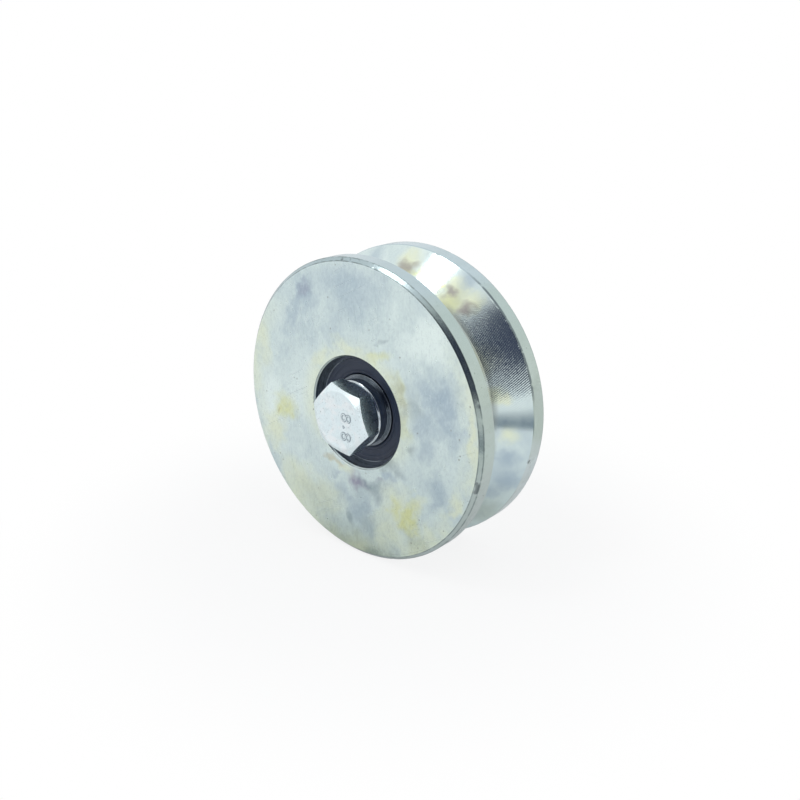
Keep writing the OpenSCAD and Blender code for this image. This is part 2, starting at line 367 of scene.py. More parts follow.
def dent(obj, nicks):
    """Presses nicks into a mesh, each (centre, width, depth) in mm, and marks the metal
    that they lay bare in the attribute bare."""
    mesh = obj.data
    bare = mesh.attributes.new("bare", "FLOAT", "POINT")
    for vertex in mesh.vertices:
        place = vertex.co / MM
        for centre, width, depth in nicks:
            reach = (place - Vector(centre)).length / width
            if reach < 1.0:
                press = (1 - reach**2) ** 1.5
                vertex.co -= vertex.normal * depth * press * MM
                laid = bare.data[vertex.index]
                laid.value = max(laid.value, press * min(1.0, depth / 0.2))


# Material patterns ----------


def add(spot, kind, inputs=None, out=0, **settings):
    """Adds a node to the tree of spot, which is a tree or a socket, and gives back one of
    its outputs. An input given as a socket is linked, any other value is set on the node."""
    tree = spot.id_data
    node = tree.nodes.new("ShaderNode" + kind)
    for name, value in settings.items():
        setattr(node, name, value)
    for name, value in (inputs or {}).items():
        if isinstance(value, bpy.types.NodeSocket):
            tree.links.new(value, node.inputs[name])
        else:
            node.inputs[name].default_value = value
    return node.outputs[out] if node.outputs else None


def begin(name):
    """New material, emptied, and the piece's own coordinates in mm."""
    material = bpy.data.materials.new(name)
    material.use_nodes = True
    tree = material.node_tree
    tree.nodes.clear()
    coords = add(tree, "TexCoord", out="Object")
    place = add(tree, "VectorMath", {0: coords, "Scale": 1 / MM}, operation="SCALE")
    return material, place


def along(place, axis):
    """A place's coordinate along X, Y or Z."""
    return add(place, "SeparateXYZ", {0: place}, out=axis)


def round_the_axle(place):
    """Distance from the axle in mm, and the angle about it in degrees from +X to +Z."""
    flat = add(place, "VectorMath", {0: place, 1: (1, 0, 1)}, operation="MULTIPLY")
    radius = add(place, "VectorMath", {0: flat}, out=1, operation="LENGTH")
    sides = {0: along(place, "Z"), 1: along(place, "X")}
    angle = add(place, "Math", sides, operation="ARCTAN2")
    return radius, add(place, "Math", {0: angle}, operation="DEGREES")


def cloud(place, size, seed=0, detail=4, stretch=(1, 1, 1), curl=0.4):
    """Soft noise with patches about size mm across, finer along a stretched axis."""
    apart = (seed * 7.3, seed * 3.1, seed * 5.7)
    scale = tuple(k / size for k in stretch)
    near = add(place, "Mapping", {"Vector": place, "Location": apart, "Scale": scale})
    look = {"Vector": near, "Scale": 1, "Detail": detail, "Roughness": 0.55}
    return add(place, "TexNoise", {**look, "Distortion": curl})


def stain(place, centre, size, lean, strength):
    """Strength of a soft oval, for a stain or for a patch of painted light: full near its centre
    and none at its edge.
    """
    oval = {"Vector": place, "Location": centre, "Scale": size}
    oval["Rotation"] = (0, math.radians(lean), 0)
    near = add(place, "Mapping", oval, vector_type="TEXTURE")
    gap = add(place, "VectorMath", {0: near}, out=1, operation="LENGTH")
    return fade(gap, 1, 0.1, strength)


def fade(value, start, end, top=1.0, within=None):
    """Eases from 0 at start to top at end, and only within another mask if one is given."""
    ends = {"Value": value, "From Min": start, "From Max": end, "To Max": top}
    eased = add(value, "MapRange", ends, interpolation_type="SMOOTHSTEP")
    if within is None:
        return eased
    return add(value, "Math", {0: eased, 1: within}, operation="MULTIPLY")


def filmed(base, films):
    """Lays coloured films over a base colour, each as (strength, colour)."""
    for strength, film in films:
        sides = {0: strength, 6: base, 7: film}
        base = add(strength, "Mix", sides, out=2, data_type="RGBA")
    return base


def summed(total, *parts):
    """Adds patterns to a total, each as (pattern, share). A height's shares are in mm."""
    for pattern, share in parts:
        sides = {0: pattern, 1: share, 2: total}
        total = add(pattern, "Math", sides, operation="MULTIPLY_ADD")
    return total


def ripple(value, pitch):
    """Sine with one wave for each pitch of the value."""
    phase = add(value, "Math", {0: value, 1: TURN / pitch}, operation="MULTIPLY")
    return add(value, "Math", {0: phase}, operation="SINE")


def specks(place, spacing, share, seed):
    """Small round specks, about one for each spacing in mm where share of them is kept."""
    dots = {"Vector": place, "Scale": 1 / spacing, "Randomness": 1.0}
    gap = add(place, "TexVoronoi", dots)
    kept = fade(cloud(place, 2 * spacing, seed, 2), 0.6 - share, 0.66 - share)
    return fade(gap, 0.15, 0.05, 1.0, kept)


def scratches(place, seed, lean):
    """A few long, fine scratches at a lean in degrees from upright."""
    turned_by = {"Vector": place, "Rotation": (0, math.radians(lean), 0)}
    line = cloud(add(place, "Mapping", turned_by), 1.6, seed, 1, (3.2, 1, 0.05), 0.0)
    kept = fade(cloud(place, 14, seed + 1, 1), 0.56, 0.64)
    return fade(line, 0.64, 0.67, 1.0, kept)


def finish(material, base, roughness, height, metal=1.0, **look):
    """Ends a material with its shader and gives it back. roughness is a value or a
    pattern, height the relief in mm, and look the shader's own settings."""
    tree = material.node_tree
    bump = add(tree, "Bump", {"Height": height, "Distance": MM, "Strength": 1.0})
    inputs = {"Base Color": base, "Roughness": roughness, "Metallic": metal, **look}
    inputs["Normal"] = bump
    add(tree, "OutputMaterial", {"Surface": add(tree, "BsdfPrincipled", inputs)})
    return material


# Zinc plate ----------

# Stains and painted light on the outer face, later ones over earlier ones: their film, then the
# patches, each (x, z, width, height, lean, strength) in mm and degrees. The bath drained round the
# hole and towards the bottom of the hanging wheel. The pale patches at the upper right are painted
# highlight and those at the left painted reflection of the lit paper, and the wide olive patch
# along the bottom is painted shade, the wheel's shadow on the paper as the face mirrors it.
FACE_STAINS_AND_PAINTED_LIGHT = (
    (
        "blue", (-2, 38, 20, 8, 0, 0.7), (0, 31, 14, 8, 0, 0.5), (-20, 31, 7, 8, 35, 0.7),
        (-20, 21, 7, 8, 20, 0.35), (-25.5, 24.5, 3.2, 8, 25, 0.7), (-21, 32.5, 2.8, 9, 42, 1),
    ),
    ("violet", (-20.5, 33, 2, 6.5, 42, 0.35)),
    # Painted light: the pale patches at (24, 27), (28, 27) and (20.5, 24) are painted highlight,
    # and those at (-22, 0) and (-36, -4) painted reflection of the lit paper
    (
        "pale", (-22, 0, 11, 16, 0, 0.6), (-36, -4, 10, 16, 0, 0.9), (24, 27, 9, 7, -30, 0.75),
        (28, 27, 8, 10, -38, 1), (20.5, 24, 7, 7, 0, 0.75),
    ),
    (
        "blue", (31, 12, 9, 7, -25, 0.95), (27, 3, 9, 6, 0, 0.6), (36, 2, 4, 8, 0, 0.5),
        (33, 7, 5, 6.5, 0, 0.85), (26, -4, 5, 6, 0, 0.65), (25, 13, 5, 5, 0, 0.5),
        (30, -16, 4, 10, 14, 0.75),
    ),
    (
        "slate", (10, 25, 3.4, 1.6, -20, 0.4), (20, -7, 3.6, 3.4, 0, 0.55),
        (20.5, 8, 4.6, 8, -15, 0.45), (7, -21.5, 10, 4.6, -12, 0.6), (3, -20, 5.4, 3, 0, 0.7),
        (12.5, -12, 6.5, 5.5, 30, 0.9),
    ),
    ("blue", (12, -17, 3.4, 2, 30, 0.8)),
    ("violet", (0, -20.8, 5.2, 3.6, 10, 0.9), (9, -18.5, 2.8, 1.4, 0, 0.4)),
    ("blue", (-9, -21, 3, 1.5, 0, 0.5)),
    ("cream", (-27, -3, 5, 4, 0, 0.4)),
    ("yellow", (-30.5, -5, 6.5, 7, 0, 0.45), (-30.5, -6, 3.6, 4.6, 0, 0.6)),
    ("ochre", (-31.5, -6.5, 1.2, 1.8, 20, 0.4)),
    (
        "cream", (17, -26, 10, 11, 10, 0.75), (27, -31, 5, 5, 0, 0.5), (9, -29, 4, 5, 0, 0.3),
        (24, -21, 3.4, 3.4, 0, 0.6),
    ),
    (
        "yellow", (21, -25, 4.4, 8, 12, 0.85), (18.5, -29.5, 2.8, 4.4, 0, 0.8),
        (15, -26, 2.8, 4.4, 10, 0.55), (8, 18, 7.5, 3, -20, 0.6), (16.5, 12, 3.2, 5.6, -35, 0.4),
    ),
    ("ochre", (17, 9, 3, 7.5, -25, 0.35)),
    ("yellow", (19, 0, 2.8, 5.6, 0, 0.5)),
    ("slate", (18.5, 3, 2.8, 6.5, 0, 0.7)),
    (
        "cream", (-3, 19.5, 7, 2.2, 10, 0.6), (-14, 14, 3.2, 7, 40, 0.5),
        (-6, -18.5, 6, 2.6, 15, 0.6),
    ),
    ("ochre", (-9, -17, 4.2, 2.2, 20, 0.4)),
    (
        "cream", (-39, 14, 5, 12, -12, 0.55), (-34.5, -13, 6, 9, 20, 0.8),
        (42, 2, 2.6, 13, 0, 0.75), (36, -18, 3.4, 7, 20, 0.7),
    ),
    ("slate", (-2.5, -34, 2.4, 5, 0, 0.7)),
    ("blue", (1, -30, 5.4, 9, 10, 0.75), (-5, -27, 6, 5, 0, 0.6)),
    ("slate", (5, -35, 6, 6, 0, 0.4)),
    ("cream", (-24, -28, 13, 10, 20, 0.7)),
    ("olive", (-16, -33, 16, 9, 12, 0.25)),
    ("cream", (-12, -30, 10, 8, 10, 0.5), (12, -35, 8, 6, 0, 0.6)),
    # The olive patch at (0, -44) is painted shade: the wheel's shadow on the paper as the face
    # mirrors it
    ("olive", (16.5, 10, 3, 6.5, -30, 0.5), (23, -35, 8, 5, 40, 0.6), (0, -44, 34, 9, 0, 0.8)),
)

# Stains low on the flank behind the groove, each (angle, way up the flank, size, film, strength):
# yellow where the bath clung to the root, brown where it dried last. The blue ones from -13 to -32
# degrees and at 106 degrees are painted reflection of the room's bluish parts, and the cream and
# yellow ones from 53 to 66 degrees are yellow film and painted reflection of the room's light side
# both.
FLANK_STAINS_AND_REFLECTIONS = (
    (87, 0.55, 7.5, "cream", 1), (84, 0.2, 5, "yellow", 0.6),
    (88, 0.34, 4.6, "brown", 0.7), (84, 0.38, 4, "brown", 0.7),
    (60, 0.3, 9, "cream", 1), (79.5, 0.35, 2.4, "yellow", 0.7),
    (62, 0.6, 4.4, "cream", 1), (57, 0.25, 9, "olive", 0.4),
    (60, 0.1, 4.6, "yellow", 0.4), (62, 0.38, 3.4, "brown", 0.75),
    (60, 0.9, 5.5, "blue", 0.8), (66, 0.3, 1.8, "yellow", 0.8),
    (53, 0.55, 6, "cream", 1), (56, 0.15, 4, "yellow", 0.3),
    (52.5, 0.36, 4, "brown", 0.8), (30, 0, 9, "cream", 0.6),
    (15, 0.1, 5, "yellow", 0.4), (12, 0.3, 4, "cream", 0.8),
    (-3, 0.4, 5, "cream", 0.8), (-20, 0.5, 14, "blue", 0.5),
    (-13, 0.45, 5.6, "blue", 0.9), (-24, 0.7, 6.5, "blue", 0.9),
    (-32, 0.4, 5, "blue", 0.6), (-44, 0.7, 12, "olive", 0.35),
    (106, 0.6, 7, "blue", 0.6), (150, 0.4, 5, "yellow", 0.5),
    (205, 0.5, 6, "blue", 0.6), (250, 0.3, 4, "brown", 0.5),
)


def plate_film(place, s, seed):
    """Clear passivated zinc plate: blue-white, clouded blue-grey and pale, with a finer
    mottling about 2.5 mm across. Gives back the colour and the two patterns."""
    broad = cloud(place, 12, seed, 4, (1, 1, 0.8))
    fine = cloud(place, 2.4, seed + 1, 5, (1.2, 1, 0.6), 0.9)
    films = [
        (fade(broad, 0.52, 0.28, 0.4), s.blue),
        (fade(broad, 0.48, 0.72, 0.6), s.pale),
        (fade(fine, 0.5, 0.26, 0.2), s.blue),
        (fade(fine, 0.5, 0.74, 0.25), s.pale),
    ]
    return filmed(s.plate, films), broad, fine


def wander(place, scale, reach):
    """Place bent by a noise, so that the patches don't look like neat ovals."""
    noise = {"Vector": place, "Scale": scale, "Detail": 3, "Roughness": 0.5}
    noise = add(place, "TexNoise", noise, out="Color")
    moved = {0: noise, 1: [reach] * 3, 2: [-reach / 2] * 3}
    moved = add(place, "VectorMath", moved, operation="MULTIPLY_ADD")
    return add(place, "VectorMath", {0: place, 1: moved}, operation="ADD")


def worn(base, roughness):
    """Bare, dull steel where nicks broke the plate."""
    bare = add(base, "Attribute", out="Fac", attribute_name="bare")
    shown = fade(bare, 0.2, 0.8, 0.6)
    base = filmed(base, [(shown, linear("#5d6365"))])
    return base, summed(roughness, (shown, 0.25))


def zinc_face(name, s, outer):
    """Side face of the wheel: faced on the lathe, zinc plated and clear passivated. The eye gets a
    milky satin metal with drained yellow and blue staining, a halo round the hole, small pits and
    handling scratches, and among them pale patches of painted highlight and painted reflection and
    an olive band of painted shade along the bottom. outer lays the patches of the outer face."""
    material, place = begin(name)
    radius = round_the_axle(place)[0]
    base, broad, fine = plate_film(place, s, 1 if outer else 9)
    bent = wander(place, 0.14, 12)
    if not outer:
        turned_by = {"Vector": bent, "Rotation": (0, math.radians(140), 0)}
        bent = add(place, "Mapping", turned_by)
    y = WHEEL_LOW.y if outer else WHEEL_HIGH.y
    face_patches = [(film, *one) for film, *group in FACE_STAINS_AND_PAINTED_LIGHT for one in group]
    films = [
        (stain(bent, (x, y, z), (width, 40, height), lean, strength), getattr(s, film))
        for film, x, z, width, height, lean, strength in face_patches[:: 1 if outer else 2]
    ]
    z = along(place, "Z")
    halo = fade(z, -16, -5, 1.0, fade(radius, 24, 16.8))
    halo = fade(broad, 0.25, 0.6, 0.6, halo)
    edge = fade(broad, 0.3, 0.6, 0.6, fade(radius, 36, 44, 1.0, fade(z, 34, 12)))
    haze = cloud(place, 0.7, 11, 4, (1, 1, 0.6))
    pits = specks(place, 2.6, 0.06, 3)
    lines = summed(scratches(place, 4, 8), (scratches(place, 6, -62), 1.0))
    films += [
        (halo, s.cream),
        (edge, s.cream),
        (fade(haze, 0.5, 0.68, 0.17), s.pale),
        (fade(haze, 0.5, 0.32, 0.13), s.slate),
        (fade(pits, 0, 1, 0.6), linear("#7d7c74")),
        (fade(lines, 0, 1, 0.14), s.slate),
    ]
    roughness = summed(0.18, (fine, 0.14), (lines, 0.06))
    base, roughness = worn(filmed(base, films), roughness)
    # Facing marks 0.35 mm apart, nearly filled by the plate, and its own fine grain
    marks = ripple(summed(radius, (broad, 0.6)), 0.35)
    grain = cloud(place, 0.6, 2, 3)
    height = summed(0.0, (marks, 0.0005), (grain, 0.006), (lines, -0.003), (pits, -0.03))
    return finish(material, base, roughness, height)


def zinc_flank(name, s):
    """Flanks and root of the groove: turned with a fine feed and plated, so they mirror
    the room in sharp radial sectors. Slanted chatter marks cross a third of the turn."""
    material, place = begin(name)
    radius, angle = round_the_axle(place)
    base, broad, fine = plate_film(place, s, 5)
    rise = WHEEL_HIGH.x - root_radius(s)
    bent = wander(place, 0.35, 4)
    films = []
    for degrees, up, size, film, strength in FLANK_STAINS_AND_REFLECTIONS:
        up *= rise
        centre = around(root_radius(s) + up, s.root_w / 2 + up, math.radians(degrees))
        reach = (size * 0.75, size * 1.2, size * 0.75)
        films.append((stain(bent, centre, reach, 0, strength), getattr(s, film)))
    # Darker and duller towards the groove's root, in broad patches
    darker_root = fade(broad, 0.3, 0.6, 0.6)
    darker_root = fade(radius, root_radius(s) + 1.6, root_radius(s), 1.0, darker_root)
    films.append((darker_root, linear("#8a8c80")))
    # The chatter runs round in a whole number of marks, leaning with the radius. The bath
    # etched the plate at its foot, which blurs what it mirrors.
    middle_r, slope = 41, 0.7
    count = round(TURN * middle_r / s.chatter_pitch)
    lean = slope * 360 / (count * s.chatter_pitch)
    marks = ripple(summed(angle, (radius, -lean)), 360 / count)
    strong = fade(angle, 52, 26, 1.0, fade(angle, 8, 17))
    hollows = fade(angle, 50, 38, 1.0, fade(angle, 4, 12))
    etched = fade(angle, 56, 46, 1.0, fade(angle, 8, 18))
    etched = fade(radius, WHEEL_HIGH.x + 2, root_radius(s) + 1, 1.0, etched)
    grain = cloud(place, 0.38, 3, 2)
    rough_grain = summed(0.003, (strong, 0.012), (etched, 0.05))
    height = summed(0.0, (marks, summed(0.0008, (strong, 0.01))))
    height = summed(height, (ripple(radius, 0.3), 0.0012), (grain, rough_grain))
    speckle = fade(cloud(place, 0.45, 6, 4), 0.3, 0.7, 1.0, etched)
    dulled = summed(0.0, (marks, hollows))
    duller = ((fine, 0.08), (etched, 0.04), (speckle, 0.11), (dulled, 0.1), (darker_root, 0.2))
    base, roughness = worn(filmed(base, films), summed(0.09, *duller))
    return finish(material, base, roughness, height)


def zinc_rim(name, s):
    """Running flats, chamfers and bore: turned and plated, plain pale grey with a faint green
    film, small dull patches and fine turning rings, painted reflection that is bluer towards the
    top and greener on the right, and a painted dark reflection along the rear mouth of the groove."""
    material, place = begin(name)
    radius, angle = round_the_axle(place)
    broad = cloud(place, 11, 2, 3, (1, 0.5, 1))
    fine = cloud(place, 2.2, 3, 4, (1, 0.6, 1), 0.5)
    films = [
        (fade(broad, 0.4, 0.62), linear("#d2dcdb")),
        (fade(fine, 0.5, 0.75, 0.45), linear("#b6c0b8")),
        (specks(place, 2.2, 0.1, 8), linear("#9aa39d")),
    ]
    # Painted dark reflection along the rear mouth of the groove, 0.3 mm wide, where its worn edge
    # mirrors the studio's unlit side
    y, z = along(place, "Y"), along(place, "Z")
    mouth = WHEEL_HIGH.y - s.edge_chamfer - s.flat_w
    mouth_dark_reflection = fade(cloud(place, 3, 5, 3), 0.38, 0.5, 0.75)
    mouth_dark_reflection = fade(angle, 68, 50, 1.0, fade(angle, 6, 16, 1.0, mouth_dark_reflection))
    mouth_dark_reflection = fade(y, mouth + 0.65, mouth + 0.3, 1.0, fade(y, 0, mouth - 1, 1.0, mouth_dark_reflection))
    # Thin dull plate on the chamfers, dullest along their edges
    side = add(place, "Math", {0: y}, operation="ABSOLUTE")
    corner = WHEEL_HIGH.y - s.edge_chamfer
    bevel = fade(side, corner - 0.1, corner)
    thin = fade(fine, 0.3, 0.55, 0.7)
    edge = fade(side, corner - 0.25, corner - 0.05, 1.0, thin)
    edge = fade(side, corner + 0.3, corner + 0.1, 1.0, edge)
    films += [
        # Painted reflection of the studio: bluer towards the top, and greener from 0 to 62 degrees
        # round the axle
        (fade(z, 14, 36, 0.6), linear("#bad0d9")),
        (fade(angle, 62, 50, 0.5, fade(angle, -12, 0)), linear("#b3c3b4")),
        (fade(bevel, 0, 1, 0.3), linear("#8f9c9c")),
        (edge, linear("#75817f")),
        (fade(side, WHEEL_HIGH.y - 0.3, WHEEL_HIGH.y - 0.1, 1.0, thin), linear("#75817f")),
        (mouth_dark_reflection, linear("#4d5862")),
    ]
    base = filmed(linear("#c6d0cb"), films)
    rings = ripple(summed(y, (radius, 1.0)), 0.4)
    uneven = summed(0.0, (cloud(place, 1.2, 9, 3), bevel))
    height = summed(0.0, (rings, 0.0012), (fine, 0.008), (uneven, 0.02))
    base, roughness = worn(base, summed(0.12, (fine, 0.2)))
    return finish(material, base, roughness, height)


# Other finishes ----------


def zinc_fastener(name, plate, grain, pitted, roughness):
    """Bright zinc over forged, stamped or turned steel: blue-white and cloudy. grain is
    the depth in mm of the orange peel under the plate, pitted the share of small pits."""
    material, place = begin(name)
    broad = cloud(place, 5, 4, 3)
    fine = cloud(place, 1.0, 5, 5, (1, 1, 1), 0.3)
    pits = specks(place, 1.1, pitted, 7)
    films = [
        (fade(broad, 0.45, 0.65, 0.8), shaded(plate, 1.12)),
        (fade(fine, 0.52, 0.72, 0.4), shaded(plate, 0.72)),
        (fade(pits, 0, 1, 0.6), linear("#68737a")),
    ]
    height = summed(0.0, (fine, grain), (pits, -grain))
    rough = summed(roughness, (fine, 0.1))
    return finish(material, filmed(plate, films), rough, height)


def ground_steel(name, base, roughness):
    """Ground or lapped bearing steel under a film of grease: grey, with fine rings round
    the axle and small cloudy patches where the film is thicker."""
    material, place = begin(name)
    radius = round_the_axle(place)[0]
    fine = cloud(place, 1.5, 6, 4)
    look = filmed(base, [(fade(fine, 0.4, 0.75), shaded(base, 0.7))])
    height = summed(0.0, (ripple(radius, 0.24), 0.0004), (fine, 0.002))
    rough = summed(roughness, (fine, 0.1))
    return finish(material, look, rough, height)


def pressed_steel(name, code, roughness):
    """Pressed or phosphated sheet steel: duller, with a cloudy, matt grain."""
    material, place = begin(name)
    fine = cloud(place, 0.7, 7, 4)
    base = linear(code)
    look = filmed(base, [(fade(fine, 0.4, 0.7), shaded(base, 1.6))])
    rough, height = summed(roughness, (fine, 0.2)), summed(0.0, (fine, 0.012))
    return finish(material, look, rough, height)


def nitrile_rubber(name, s):
    """Moulded nitrile rubber of the seals: blue-black and satin, with a fine even grain,
    drawn at 0.25 mm so that it shows, and a little pale dust."""
    material, place = begin(name)
    dust = cloud(place, 2.2, 8, 4)
    films = [(fade(dust, 0.5, 0.78, 0.5), linear("#434c5e"))]
    height = summed(0.0, (cloud(place, 0.25, 9, 2), 0.004))
    rough = summed(0.34, (dust, 0.15))
    return finish(material, filmed(s.rubber, films), rough, height, metal=0.0, IOR=1.52)


# Pieces ----------


def root_radius(s):
    """Radius of the groove's root: its flanks lean at 45 degrees."""
    mouth = WHEEL_HIGH.y - s.edge_chamfer - s.flat_w
    return WHEEL_HIGH.x - (mouth - s.root_w / 2)


def wheel_section(s):
    """The wheel's profile, tagged 0 front face, 1 rear face, 2 groove, 3 rim and bore."""
    outer, face = WHEEL_HIGH.x, WHEEL_HIGH.y
    seat = RING_HIGH.x
    lip = seat - s.lip_h
    rim = face - s.edge_chamfer
    mouth = rim - s.flat_w
    root = root_radius(s)
    clip_front, clip_back = CLIP_LOW.y - s.clip_play, CLIP_HIGH.y + s.clip_play
    clip_floor = CLIP_HIGH.x + s.clip_gap
    cut = s.hole_chamfer
    edge = outer - s.edge_chamfer
    steps = (0.6, 0.9, 1.3, 2)
    return [
        (lip + cut, -face, 0),
        (edge - 1.5, -face, 0),
        (edge, -face, 3),
        (outer, -rim, 3),
        (outer, -mouth, 2, 0),
        *((outer - down, down - mouth, 2, 0) for down in steps),
        (root, -s.root_w / 2, 2, 0.2),
        (root, s.root_w / 2, 2, 0.2),
        *((outer - down, mouth - down, 2, 0) for down in reversed(steps)),
        (outer, mouth, 3, s.mouth_round),
        (outer, rim, 3),
        (edge, face, 1),
        (edge - 1.5, face, 1),
        (seat + cut, face, 3),
        (seat, face - cut, 3),
        (seat, clip_back, 3), (clip_floor, clip_back, 3),
        (clip_floor, clip_front, 3), (seat, clip_front, 3),
        (seat, RING_LOW.y, 3), (lip, RING_LOW.y, 3),
        (lip, -face + cut, 3),
    ]


def wheel_nicks():
    """Knocks on the flanges' edges: a few deep ones, listed one by one, then small ones at random.
    """
    front, back = WHEEL_LOW.y, WHEEL_HIGH.y
    placed = (
        (-12, 44.3, front + 0.2, 1.0, 0.25), (-13, 44.7, front + 0.6, 1.1, 0.22),
        (-14.3, 44.7, front + 0.7, 1.0, 0.2), (-15.5, 44.6, front + 0.5, 1.0, 0.24),
        (96, 44.4, front + 0.3, 0.9, 0.2), (92, 44.6, front + 0.5, 0.7, 0.15),
        (88, 44.8, front + 0.8, 0.6, 0.12), (49, 45.0, 9.6, 0.7, 0.12),
        (46, 45.0, 9.5, 0.6, 0.1), (37, 45.0, 9.5, 0.6, 0.1), (-14, 45.0, 9.7, 1.0, 0.3),
        (30, 45.0, 9.5, 0.6, 0.1), (24, 45.0, 9.5, 0.5, 0.1), (205, 44.7, back - 0.5, 1.2, 0.3),
        (150, 45.0, -9.6, 1.0, 0.25), (250, 44.6, front + 0.4, 0.9, 0.25),
    )
    spots = [(math.radians(a), r, y, width, depth) for a, r, y, width, depth in placed]
    draw = random.Random(12)
    edges = ((44.1, front), (45, front + 0.9), (45, -9.4), (45, 9.4), (45, back - 0.9))
    for _ in range(60):
        r, y = draw.choice(edges)
        width = draw.uniform(0.4, 0.8)
        spots.append((draw.uniform(0, TURN), r, y, width, draw.uniform(0.04, 0.12)))
    return [(around(r, y, a), width, depth) for a, r, y, width, depth in spots]


class GATEWHEEL_OT_wheel(bpy.types.Operator):
    """Turned wheel with its V groove, nicked edges and stained zinc plate"""

    bl_idname = "gatewheel.wheel"
    bl_label = "Wheel"

    def execute(self, context):
        s = context.scene.gatewheel_wheel
        profile = outline(wheel_section(s), s.edge_round, 3.0)
        obj = turned("wheel_turned", profile, s.segments)
        dent(obj, wheel_nicks())
        materials = (
            zinc_face("zinc_outer_face", s, True),
            zinc_face("zinc_inner_face", s, False),
            zinc_flank("zinc_groove", s),
            zinc_rim("zinc_running_flat", s),
        )
        dress(obj, "wheel", "wheel_zinc", "wheel_body", *materials, sharp=18)
        return {"FINISHED"}


def seal_seat(s):
    """Radii of the outer ring's shoulder and of the floor of its seals' grooves."""
    shoulder = RING_HIGH.x - SHOULDER * s.section_h
    return shoulder, shoulder + s.seal_bead_h + BEAD_PLAY


def outer_ring_section(s, low, high):
    """Outer ring: a land on each side, the seals' grooves and the race."""
    outer = RING_HIGH.x
    shoulder, groove = seal_seat(s)
    seal_y = s.seal_sink + SEAL_GROOVE
    middle = (low + high) / 2
    race = ball_race(s, 1)
    half = [
        (shoulder, seal_y, 0), (groove, seal_y, 0), (groove, s.seal_sink, 0),
        (groove - 0.3, 0.2, 1, 0), (groove - 0.1, 0, 0, 0),
        (outer - 0.6, 0, 0, 0.3), (outer, 0.6, 0, 0.3),
    ]
    front = [(r, low + y, *rest) for r, y, *rest in half]
    back = [(r, high - y, *rest) for r, y, *rest in reversed(half)]
    return front + back + [(r, middle - y, 0, 0) for r, y in race]


def inner_ring_section(s, low, high):
    """Inner ring: chamfered corners and the race."""
    bore = s.bore / 2
    shoulder = INNER_HIGH.x
    middle = (low + high) / 2
    race = [(r, middle + y, 0, 0) for r, y in ball_race(s, -1)]
    return [
        (bore + 0.3, low, 0), (shoulder - 0.15, low, 0), (shoulder, low + 0.15, 0),
        *race,
        (shoulder, high - 0.15, 0), (shoulder - 0.15, high, 0), (bore + 0.3, high, 0),
        (bore, high - 0.3, 0), (bore, low + 0.3, 0),
    ]


def ball_race(s, side):
    """Arc of a race as (r, y) from its middle plane, y rising. side is 1 on the outer
    ring and -1 on the inner one."""
    ball = BALL * s.section_h / 2
    pitch = s.bore / 2 + s.section_h / 2
    arc_r = ball + RACE_OVER
    shift = side * (ball + BALL_PLAY - arc_r)
    shoulder = seal_seat(s)[0] if side > 0 else INNER_HIGH.x
    lift = (shoulder - pitch - shift) * side
    half = math.acos(lift / arc_r)
    steps = 12
    angles = [-half + 2 * half * k / steps for k in range(steps + 1)]
    return [(pitch + shift + side * arc_r * math.cos(a), arc_r * math.sin(a)) for a in angles]


def seal_section(s, face, inwards):
    """A seal: bead in the outer ring's groove, shallow stepped disc, lip on the inner
    ring. inwards is the way along Y from the bearing's side face into the bearing."""
    shoulder, groove = seal_seat(s)
    bead = shoulder + s.seal_bead_h
    rub = INNER_HIGH.x + 0.05
    points = (
        (rub, 1.05, 0.1), (rub + 0.6, 0.95, 0.1), (shoulder - 0.1, 0.95, 0.1),
        (shoulder + 0.1, 1.15, 0.1), (groove, 1.15, 0.1), (groove, 0.55, 0.1),
        (bead, 0.25, 0.2), (bead - 0.9, 0.26, 0.3), (bead - 1.1, 0.4, 0.3), (bead - 1.6, 0.4, 0.3),
        (bead - 1.8, 0.3, 0.3), (rub + 1.2, 0.3, 0.2), (rub + 0.95, 0.5, 0.2),
        (rub + 0.55, 0.5, 0.2), (rub + 0.4, 0.35, 0.1), (rub, 0.6, 0.1),
    )
    return [(r, face + inwards * depth, 0, soft) for r, depth, soft in points]


class GATEWHEEL_OT_bearings(bpy.types.Operator):
    """Rings and rubber seals of both bearings, and the steel of their balls and cages"""

    bl_idname = "gatewheel.bearings"
    bl_label = "Bearings"

    def execute(self, context):
        s = context.scene.gatewheel_bearing
        # The outer ring's darker grey is painted shade
        outer = ground_steel("ground_outer_ring_in_painted_shade", s.outer, 0.2)
        inner = ground_steel("ground_inner_ring", s.inner, 0.16)
        rubber = nitrile_rubber("nitrile_seal_rubber", s)
        ball = ground_steel("lapped_ball_steel", linear("#c9cccf"), 0.05)
        cage = pressed_steel("pressed_cage_steel", "#8d8b84", 0.3)
        loose = dict.fromkeys(("cage_outer_half", "cage_inner_half", "cage_rivets"), cage)
        loose["balls"] = ball
        for end, low, high, front_seal, rear_seal in (
            ("front", RING_LOW.y, RING_HIGH.y, "outer", "inner"),
            ("rear", REAR_LOW.y, REAR_HIGH.y, "inner", "outer"),
        ):
            for node, section, body, materials in (
                (end + "_outer_ring", outer_ring_section, "wheel", (outer, inner)),
                (end + "_inner_ring", inner_ring_section, "axle", (inner,)),
            ):
                ring = turned(node + "_ground", outline(section(s, low, high), 0.1, 2.5), 240)
                dress(ring, body, "bearing_steel", node, *materials)
            for side, face, inwards in ((front_seal, low, 1), (rear_seal, high, -1)):
                node = f"{end}_bearing_{side}_seal"
                section = outline(seal_section(s, face, inwards), 0.1, 2)
                seal = turned(node + "_moulded", section, 240)
                dress(seal, "wheel", "seal_rubber", node, rubber)
            for part, material in loose.items():
                coat(f"{end}_{part}", material)
        return {"FINISHED"}


